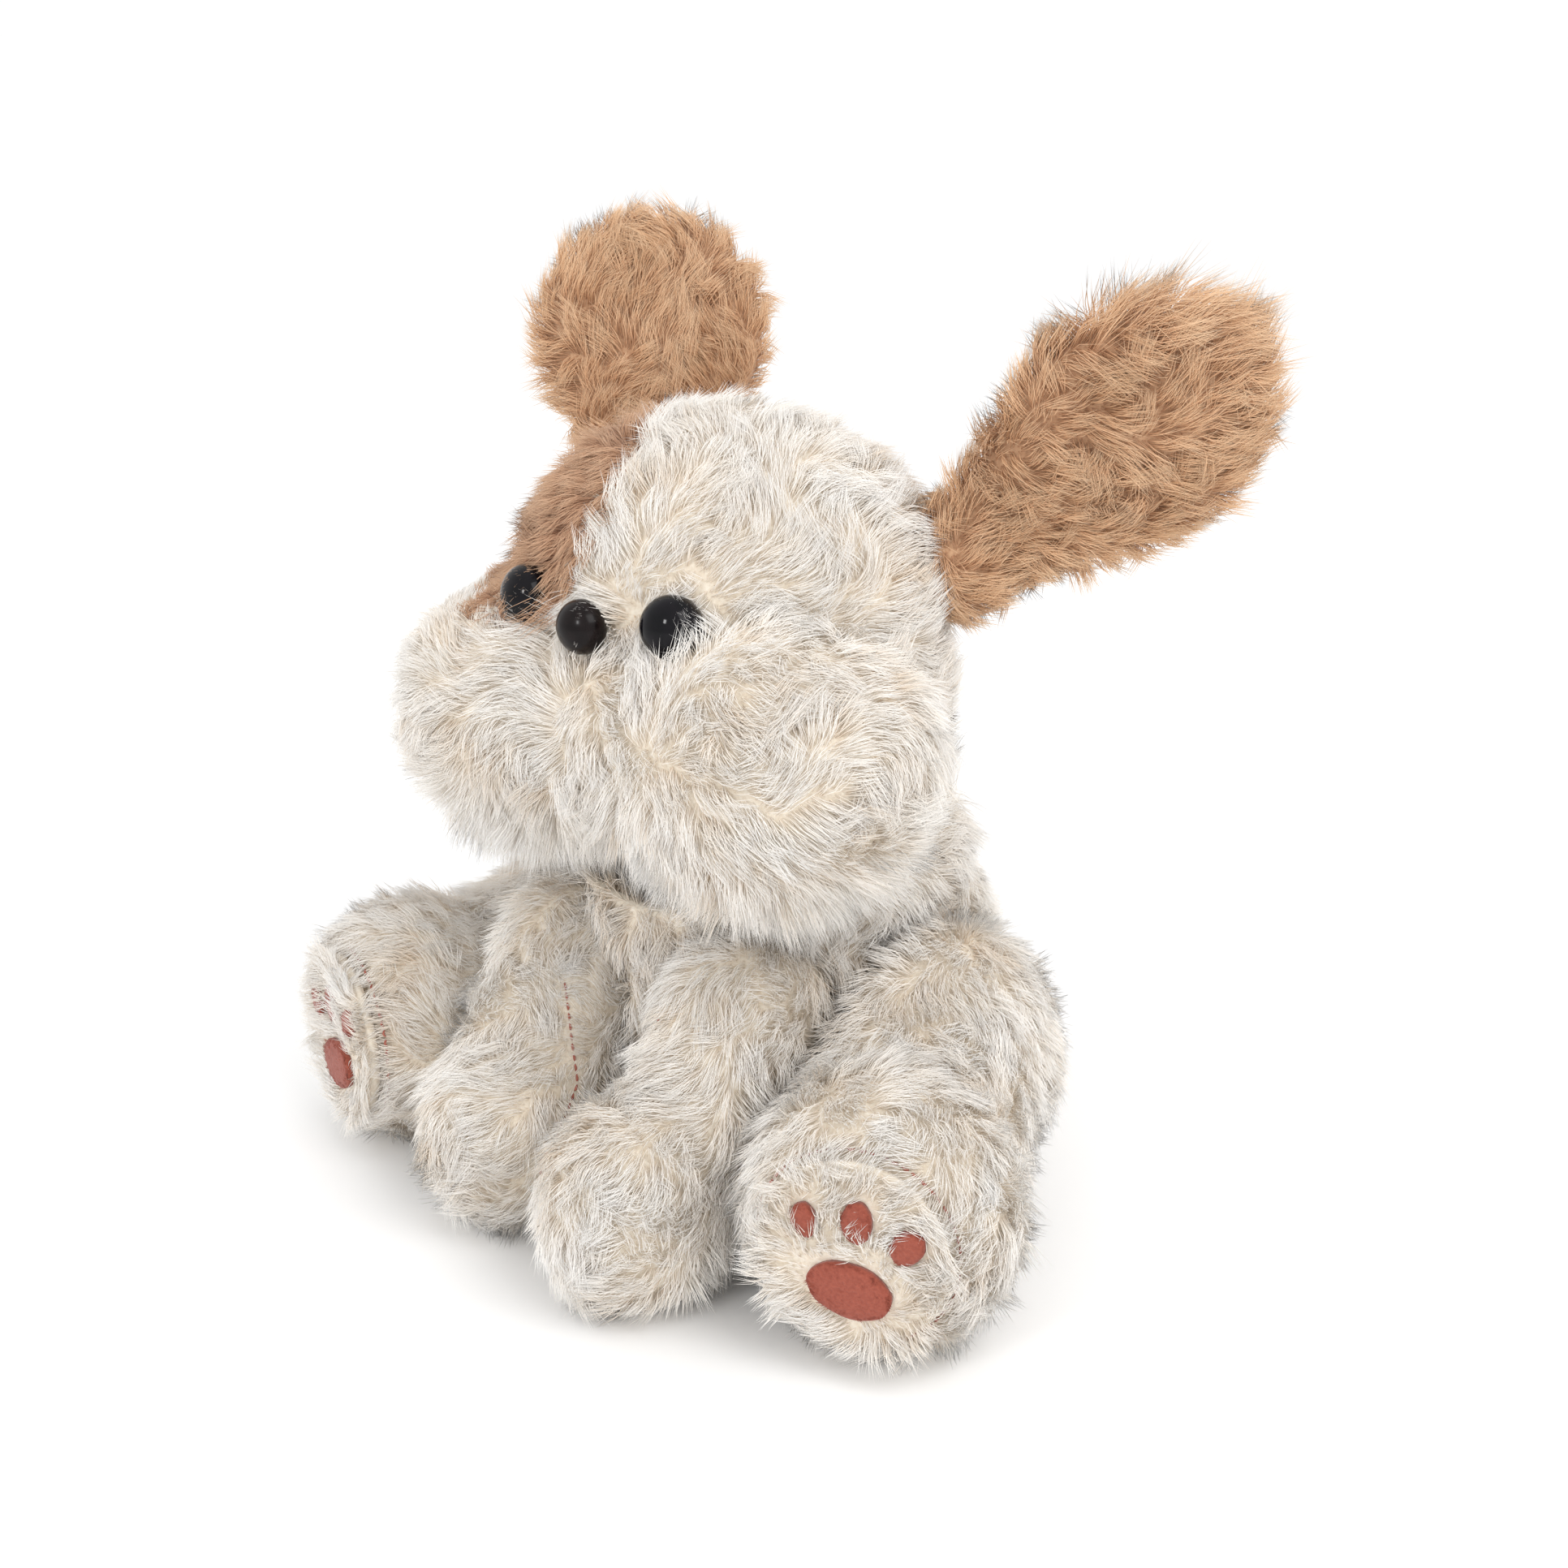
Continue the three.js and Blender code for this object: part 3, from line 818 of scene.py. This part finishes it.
def stitching(name, body, line, out, node, pitch=2.6, thread=0.34):
    """A row of separate stitches laid on the skin along a line."""
    line = denser(line, 0.25)
    out = np.array(out, float)
    points, faces = [], []
    each = max(4, int(pitch / 0.25))
    for start in range(0, len(line) - each + 1, each):
        run = line[start:start + int(each * 0.86)]
        bow = np.sin(np.linspace(0, math.pi, len(run)))[:, None]
        lift = out if out.ndim == 1 else out[min(start, len(out) - 1)]
        more, rings = tube((run + (bow * 0.5 - 0.2) * lift)[:: max(1, len(run) // 5)], thread)
        faces += [tuple(k + len(points) for k in ring) for ring in rings]
        points += more
    ob = new_object(name, points, faces, seam_thread)
    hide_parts(node)
    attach(ob, body)


def lathe(name, body, node, profile, at, axis, material, sides=56):
    """A turned piece: profile is (radius, height) pairs from its front to its back."""
    along = unit(axis)
    one = unit(np.cross(along, [0.1, 0.2, 1.0]))
    two = np.cross(along, one)
    points = [np.array(at) + profile[0][1] * along]
    for radius, height in profile[1:-1]:
        for turn in np.linspace(0, 2 * math.pi, sides, endpoint=False):
            across = math.cos(turn) * one + math.sin(turn) * two
            points.append(np.array(at) + height * along + radius * across)
    points.append(np.array(at) + profile[-1][1] * along)
    rings = len(profile) - 2
    faces = [(0, 1 + k, 1 + (k + 1) % sides) for k in range(sides)]
    for ring in range(rings - 1):
        for k in range(sides):
            a, b = 1 + ring * sides + k, 1 + ring * sides + (k + 1) % sides
            faces.append((a, a + sides, b + sides, b))
    last = 1 + (rings - 1) * sides
    faces += [(last + k, len(points) - 1, last + (k + 1) % sides) for k in range(sides)]
    ob = new_object(name, points, faces, material)
    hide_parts(node)
    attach(ob, body)


def bead_profile(radius, flat):
    """A domed bead with a rolled rim on a ringed stem."""
    dome = [(0, radius * flat)]
    for turn in np.radians(np.linspace(6, 104, 20)):
        dome.append((radius * math.sin(turn), radius * math.cos(turn) * flat))
    dome += [(radius * 0.9, -radius * 0.34), (radius * 0.6, -radius * 0.4), (2.2, -radius * 0.42)]
    for step in range(9):
        height = -radius * 0.5 - 1.9 * step
        dome += [(1.9, height), (2.2, height - 0.5), (1.7, height - 1.0)]
    return dome + [(1.0, -22.2), (0, -22.4)]


def rolled(x, y, roll):
    """Flat places turned about the middle."""
    return x * math.cos(roll) - y * math.sin(roll), x * math.sin(roll) + y * math.cos(roll)


def oval_disc(radii, turn, low, high, dome, seed, ragged=0.0, sides=44):
    """Points and faces of a rounded oval disc in its own frame, a little crowned."""
    levels = [(0.0, 1.0), (0.35, 0.97), (0.65, 0.86), (0.85, 0.62), (0.95, 0.3), (1.0, -0.1)]
    roll = math.radians(turn)
    rng = np.random.default_rng(seed)
    around = np.linspace(0, 2 * math.pi, sides, endpoint=False)
    wobble = sum(rng.uniform(-1, 1) * np.sin(n * around + rng.uniform(0, 6)) for n in (3, 5, 7, 11))
    shape = 1 + ragged * wobble
    points = [(0, 0, high)]
    for share, level in levels[1:]:
        for angle, wide in zip(around, shape):
            x, y = radii[0] * share * wide * math.cos(angle), radii[1] * share * wide * math.sin(angle)
            points.append((*rolled(x, y, roll), high - dome + dome * level))
    edge = len(points) - sides
    points += [(x, y, low) for x, y, _ in points[edge:]]
    points.append((0, 0, low))
    faces = [(0, 1 + k, 1 + (k + 1) % sides) for k in range(sides)]
    for ring in range(len(levels) - 1):
        for k in range(sides):
            a, b = 1 + ring * sides + k, 1 + ring * sides + (k + 1) % sides
            faces.append((a, a + sides, b + sides, b))
    faces += [
        (len(points) - 1 - sides + k, len(points) - 1, len(points) - 1 - sides + (k + 1) % sides)
        for k in range(sides)
    ]
    return np.array(points, float), faces


def flat_places(radii, turn, count, rng):
    """Random places inside an oval."""
    roll = math.radians(turn)
    far, angle = np.sqrt(rng.random(count)), rng.uniform(0, 2 * math.pi, count)
    x, y = radii[0] * far * np.cos(angle), radii[1] * far * np.sin(angle)
    return np.stack(rolled(x, y, roll), 1)


# ---- Torso and tail -----------------------------------------------------------------------------

NECK_RIM = 60  # about how far the rim of the head's hollow lies from the middle of the neck

points, quads = skin(
    "torso_cover", "torso", cream_cloth, trunk, [-70, -75, -4], [70, 70, 140], CELL,
    ["torso_skin"],
)
roots = bushes(points, quads, 11)
back_turns = np.radians(np.arange(-12, 34, 1.5))
back_line = onto(
    trunk, [BELLY[0]] * len(back_turns), [[0, math.cos(turn), math.sin(turn)] for turn in back_turns]
)
back_part = parted(back_line, 0.8, 5)


def by_neck(p):
    """1 on the rim of the hollow that the head sits in, and 0 well away from it."""
    return np.clip(1.3 - np.abs(np.linalg.norm(p - NECK, axis=1) - NECK_RIM) / 10, 0, 1)


def torso_share(p):
    """Longer fur up to the neck, shorter beside the closing seam and on the flanks."""
    collar = 1 + 0.7 * by_neck(p)
    flanks = 1 - 0.22 * ramped(np.abs(p[:, 0]), 34, 54) * (p[:, 2] < 90)
    return collar * flanks * back_part(p)


def torso_comb(p):
    """The fur lies down and outwards, but reaches up round the head at the neck."""
    near = np.clip(1.2 - (np.linalg.norm(p - NECK, axis=1) - NECK_RIM) / 7, 0, 1)[:, None]
    inward = (NECK - p) / np.linalg.norm(NECK - p, axis=1, keepdims=True) + [0, 0, 0.8]
    return away_from([0, -30, 150], (0, 0, -0.6))(p) * (1 - near) + inward * near


def torso_upright(p):
    """The fur stands up inside the neck's hollow."""
    return 0.6 * (np.linalg.norm(p - NECK, axis=1) < NECK_RIM + 1.5)


shown = (roots[:, 2] > 3) & (distance_to(roots, back_line) > 0.9)
grow(
    "torso_fur", "torso", "cream_fabric", cream_fur, trunk, roots[shown], torso_comb,
    seed=21, share=torso_share, upright=torso_upright, others=others_of("torso"),
)
stitching("back_stitches", "torso", back_line, [0, 1, 0.2], "back_closing_seam")

points, quads = skin(
    "tail_cover", "tail", tan_cloth, tail, [-20, 28, 10], [20, 90, 60], 2.0, ["tail_skin"]
)
grow(
    "tail_fur", "tail", "tan_fabric", tan_fur, tail, bushes(points, quads, 17), away_from([0, 30, 30]),
    seed=61, others=[trunk],
)

# ---- Head ---------------------------------------------------------------------------------------

EYE_SUNK = 1.6  # how far the pile takes the beads in
NOSE_SUNK = 2.8
EYE_PLACES = {
    name: flipped(np.array(EYE["at"]) - EYE_SUNK * unit(EYE["facing"]), side)
    for name, side in SIDES.items()
}
NOSE_PLACE = np.array(NOSE["at"]) - NOSE_SUNK * unit(NOSE["facing"])
BEAD_ROOM = [
    (EYE_PLACES["left"], EYE["radius"] + 0.1),
    (EYE_PLACES["right"], EYE["radius"] + 0.1),
    (NOSE_PLACE, NOSE["radius"] + 0.1),
]
WHORL = [0, -90, 154]  # the face's fur lies away from the nose
PATCH_WHORL = [-14, -50, 210]  # the patch's hangs down over the eye
PATCH_FUR = ([-33, -52, 174], [29.5, 40, 35])  # the brown pile spreads past its cloth
PATCH_BOTTOM = 151


def by_beads(p):
    """1 beside an eye or the nose, and 0 a little way off."""
    gaps = [np.linalg.norm(p - middle, axis=1) - radius for middle, radius in BEAD_ROOM]
    return np.clip(1 - np.min(gaps, axis=0) / 7, 0, 1)


def face_share(p):
    """Longer fur under the chin and by the right eye, shorter by the left eye and below the patch."""
    x, z = p[:, 0], p[:, 2]
    beside = 1 - 0.25 * by_beads(p) * (x > 10) + 0.45 * by_beads(p) * (x < -12)
    chin = 1 + 0.4 * ramped(z, 116, 104)
    hollow = 1 - 0.45 * ramped(z, 134, 148) * ramped(-x, 22, 34) * (z < 160)
    return beside * chin * hollow


points, quads = surface(skull, [-66, -76, 86], [66, 38, 206], CELL)
points = settle(skull, points)
patch = ellipsoid(*PATCH)
of_patch = patch(points[quads].mean(axis=1)) < 0
for name, cloth, chosen, node in (
    ("head_cover", cream_cloth, ~of_patch, "head_skin"),
    ("eye_patch_cover", patch_cloth, of_patch, "eye_patch"),
):
    used, inverse = np.unique(quads[chosen], return_inverse=True)
    ob = new_object(name, points[used], inverse.reshape(-1, 4), cloth)
    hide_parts(node)
    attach(ob, "head")


def face_comb(start):
    """The fur lies away from a point, but closes in round the beads."""
    outwards = away_from(start)
    middles = np.array([middle for middle, _ in BEAD_ROOM])

    def comb(p):
        near = by_beads(p)[:, None]
        gaps = np.linalg.norm(p[:, None] - middles, axis=2)
        inward = middles[gaps.argmin(axis=1)] - p
        inward /= np.linalg.norm(inward, axis=1, keepdims=True)
        return outwards(p) * (1 - near) + 1.4 * inward * near

    return comb


def face_upright(p):
    """The fur stands up round the beads and hangs straight down from the chin."""
    return np.maximum(0.4 * by_beads(p), 0.75 * ramped(p[:, 2], 118, 106))


def face_fur(label, field, roots, seed):
    """The fur of one sewn part of the head, brown inside the patch."""
    edge = 1.8 * waves(roots, 7, 9)
    brown = (ellipsoid(*PATCH_FUR)(roots) + edge < 0) & (roots[:, 2] > PATCH_BOTTOM + edge)
    for suffix, slot_name, material, chosen, start in (
        ("fur", "cream_fabric", cream_fur, ~brown, WHORL),
        ("patch_fur", "patch_fabric", patch_fur, brown, PATCH_WHORL),
    ):
        if chosen.sum() < 60:
            continue
        grow(
            f"{label}_{suffix}", "head", slot_name, material, field, roots[chosen], face_comb(start),
            seed=seed, share=face_share, upright=face_upright, others=others_of("head"), clear_of=BEAD_ROOM,
        )


roots = bushes(points, quads, 12)
in_cheek = np.minimum(cheeks["left"](roots), cheeks["right"](roots)) < -1
face_fur("head", skull, roots[~in_cheek], 22)
for name, side in SIDES.items():
    points, quads = skin(
        f"{name}_cheek_cover", "head", cream_cloth, cheeks[name],
        [-78, -84, 92], [78, 0, 166], CELL, [f"{name}_cheek_skin", f"{name}_cheek_stuffing"],
    )
    roots = bushes(points, quads, 13)
    shown = (skull(roots) > 1.2) & (np.abs(roots[:, 0]) > 0.9)
    face_fur(f"{name}_cheek", muzzle, roots[shown], 25 + side)
    lathe(
        f"{name}_eye_bead", "head", f"{name}_eye", bead_profile(EYE["radius"], 0.84),
        EYE_PLACES[name], flipped(EYE["facing"], side), bead_plastic,
    )
lathe(
    "nose_bead", "head", "nose", bead_profile(NOSE["radius"], 0.86),
    NOSE_PLACE, NOSE["facing"], nose_plastic,
)

# ---- Ears ---------------------------------------------------------------------------------------

EAR_TIP_FUR = {"left": 0.7, "right": 0.0}  # how much longer the fur grows at the tip

for name, side in SIDES.items():
    axes = ear_axes(name)
    root = flipped(EAR_ROOT, side)
    tip = root + 90 * axes[:, 2]
    points, quads = skin(
        f"{name}_ear_cover", f"{name}_ear", tan_cloth, ears[name],
        np.minimum(root, tip) - 45, np.maximum(root, tip) + 45, 2.0,
        [f"{name}_ear_upper_panel", f"{name}_ear_lower_panel"],
    )
    grow(
        f"{name}_ear_fur", f"{name}_ear", "tan_fabric", tan_fur, ears[name], bushes(points, quads, 14),
        away_from(root - 30 * axes[:, 2]), coat={**COAT, "length": 10.5, "stray": 42}, seed=31 + side,
        share=lambda p: 1 + EAR_TIP_FUR[name] * ramped(p[:, 2], 206, 220),
        others=[BODIES["head"]],
    )

# ---- Front legs ---------------------------------------------------------------------------------

SEAM_HEIGHTS = np.linspace(-42, 4, 30)
SEAM_INWARD = math.radians(61)

for name, side in SIDES.items():
    body = f"{name}_front_leg"
    points, quads = skin(
        f"{body}_cover", body, cream_cloth, fronts[name], [-60, -120, -4], [60, 0, 96],
        CELL, [f"{body}_skin"],
    )
    origin = flipped(FRONT_ROOT, side)
    shin_at, paw_at = flipped(SHIN[0], side), flipped(PAWS[name][0], side)
    down = np.clip((shin_at[2] - SEAM_HEIGHTS) / (shin_at[2] - paw_at[2]), 0, 1)[:, None]
    axis_points = origin + shin_at + (paw_at - shin_at) * down
    axis_points[:, 2] = origin[2] + SEAM_HEIGHTS
    inward = np.array([-side * math.sin(SEAM_INWARD), -math.cos(SEAM_INWARD), 0])
    line = onto(fronts[name], axis_points, [inward] * len(axis_points))
    line = line[np.abs(line[:, 0]) > FRONT_INNER + UNDER + 1]
    roots = bushes(points, quads, 15)
    part = parted(line, 0.8, 6)
    grow(
        f"{body}_fur", body, "cream_fabric", cream_fur, fronts[name],
        roots[(roots[:, 2] > 2.5) & (distance_to(roots, line) > 0.8)],
        away_from(origin + np.array([0, 20, 30])), seed=41 + side,
        share=part, others=others_of(body),
    )
    stitching(f"{body}_stitches", body, line, inward, f"{body}_seam")

# ---- Hind legs ----------------------------------------------------------------------------------

SOLE_RADIUS = 22
FLOCK = {"density": 6, "length": 1.5, "width": 0.16, "tuft": 1.2, "stray": 70, "lean": 55}
PADS = {  # middle, half widths, turn and raggedness on the sole
    "main_pad": ([0, -8], [9.8, 6.6], -10, 0.012),
    "inner_toe_pad": ([-10.5, 7.5], [2.9, 4.1], 12, 0.02),
    "middle_toe_pad": ([1.5, 9], [3.5, 5], 0, 0.02),
    "outer_toe_pad": ([13, 5.2], [3.6, 4.6], -38, 0.02),
}

for name, side in SIDES.items():
    body = f"{name}_hind_leg"
    points, quads = skin(
        f"{body}_cover", body, cream_cloth, hinds[name], [-125, -100, -4], [125, 50, 90],
        CELL, [f"{body}_skin"],
    )
    roots = bushes(points, quads, 16)
    centre, face = sole_centre(side), sole_axes(side)
    local = (roots - centre) @ face
    on_sole = (local[:, 2] > -2) & (np.linalg.norm(local[:, :2], axis=1) < SOLE_RADIUS + 0.5)
    grow(
        f"{body}_fur", body, "cream_fabric", cream_fur, hinds[name],
        roots[(roots[:, 2] > 2.5) & ~on_sole],
        away_from(flipped(HIND_ROOT, side) + np.array([0, 25, 30]), 0.5 * face[:, 2]),
        seed=51 + side, others=others_of(body),
    )

    disc, rings = oval_disc([SOLE_RADIUS] * 2, 0, 0.5, 3.4, 0.9, 3)
    ob = new_object(f"{name}_sole_cover", disc @ face.T + centre, rings, cream_cloth)
    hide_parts(f"{name}_sole")
    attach(ob, body)
    turns = np.linspace(0, 2 * math.pi, 90)
    ring = np.stack([np.cos(turns), np.sin(turns), np.zeros(90)], 1) * (SOLE_RADIUS + 1.4) - [0, 0, 1.4]
    stitching(f"{name}_sole_stitches", body, ring @ face.T + centre, face[:, 2], f"{name}_sole_seam")

    rng = np.random.default_rng(71 + side)
    count = int(COAT["density"] * 1.25 * math.pi * SOLE_RADIUS**2)
    places = flat_places([SOLE_RADIUS + 0.5] * 2, 0, count, rng)
    share = np.ones(len(places))
    for part, (at, radii, turn, rough) in PADS.items():
        at = np.array([at[0] * side, at[1]], float)
        roll = turn * side
        disc, rings = oval_disc(radii, roll, 3.5, 5.6, 0.8, 5, rough)
        disc[:, :2] += at
        ob = new_object(f"{name}_{part}_felt", disc @ face.T + centre, rings, felt)
        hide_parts(f"{name}_{part}")
        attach(ob, body)
        flock = flat_places(radii, roll, int(6 * math.pi * radii[0] * radii[1]), rng) * 0.97 + at
        flock = np.column_stack([flock, np.full(len(flock), 4.7)])
        grow(
            f"{name}_{part}_flock", body, "pad_felt", pad_fur, half_space(centre, face[:, 2]),
            flock @ face.T + centre, away_from(centre - 40 * face[:, 1]),
            coat={**COAT, **FLOCK},
            seed=81 + side,
        )
        c, t = math.cos(math.radians(roll)), math.sin(math.radians(roll))
        offset = (places - at) @ np.array([[c, -t], [t, c]]) / np.array(radii)
        away = np.linalg.norm(offset, axis=1)
        share[away < 1.04] = 0
        if part == "main_pad":
            share = np.minimum(share, np.clip((away - 1) * 1.6 + 0.3, 0, 1))
    places = places[share > 0]
    share_by_place = KDTree(len(places))
    for number, (x, y) in enumerate(places):
        share_by_place.insert((x, y, 0), number)
    share_by_place.balance()
    kept = share[share > 0]

    def sole_share(p, tree=share_by_place, kept=kept, centre=centre, face=face):
        flat = (p - centre) @ face
        return np.array([kept[tree.find((x, y, 0))[1]] for x, y, _ in flat])

    roots = np.column_stack([places, np.full(len(places), 2.9)]) @ face.T + centre
    grow(
        f"{name}_sole_fur", body, "cream_fabric", cream_fur, half_space(centre, face[:, 2]), roots,
        away_from(centre + face @ np.array([-3.0 * side, -9.0, 0])),
        coat={**COAT, "length": 8.5, "lean": 60, "tuft": 3.4}, seed=75 + side, share=sole_share,
    )

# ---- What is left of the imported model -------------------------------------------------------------

for name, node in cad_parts.items():
    if node.hide_render:
        continue
    if name.endswith("_washer"):
        material = washer_plastic
    elif name == "pellet_bag":
        material = pellet_cloth
    else:
        material = filling_fibre
    node.data.materials.clear()
    node.data.materials.append(material)


# ---- Floor, light and camera --------------------------------------------------------------------

floor_material, tree, shader = new_material("floor_paper", roughness=0.9)
tree.links.new(ramp(tree, noise(tree, 3), [(0.3, (0.97, 0.97, 0.97)), (0.7, (0.98, 0.98, 0.98))]),
               shader.inputs["Base Color"])
reach = 400000
floor = new_object(
    "floor", [[-reach, -reach, 0], [reach, -reach, 0], [reach, reach, 0], [-reach, reach, 0]],
    [(0, 1, 2, 3)], floor_material, smooth=False,
)

scene = bpy.context.scene
scene.view_settings.view_transform = "Standard"
world = bpy.data.worlds.new("studio")
world.use_nodes = True
world.node_tree.nodes["Background"].inputs["Color"].default_value = (1.0, 1.0, 1.0, 1)
world.node_tree.nodes["Background"].inputs["Strength"].default_value = 1.04
scene.world = world


def soft_light(name, at, aim, size, power):
    data = bpy.data.lights.new(name, "AREA")
    data.shape = "RECTANGLE"
    data.size, data.size_y = size
    data.energy = power
    ob = bpy.data.objects.new(name, data)
    ob.location = at
    ob.rotation_euler = (Vector(aim) - Vector(at)).to_track_quat("-Z", "Y").to_euler()
    scene.collection.objects.link(ob)


TARGET = (0.0, 0.0135, 0.1)
soft_light("key", (0.75, -0.15, 0.85), TARGET, (0.6, 0.6), 3.5)
soft_light("window", (0.15, -1.0, 0.6), TARGET, (0.13, 0.19), 2.0)

camera_data = bpy.data.cameras.new("camera")
camera_data.sensor_width = 36
camera_data.lens = 50.09
camera = bpy.data.objects.new("camera", camera_data)
camera.location = (0.3404, -0.3921, 0.2823)
camera.rotation_euler = (Vector(TARGET) - camera.location).to_track_quat("-Z", "Y").to_euler()
scene.collection.objects.link(camera)
scene.camera = camera
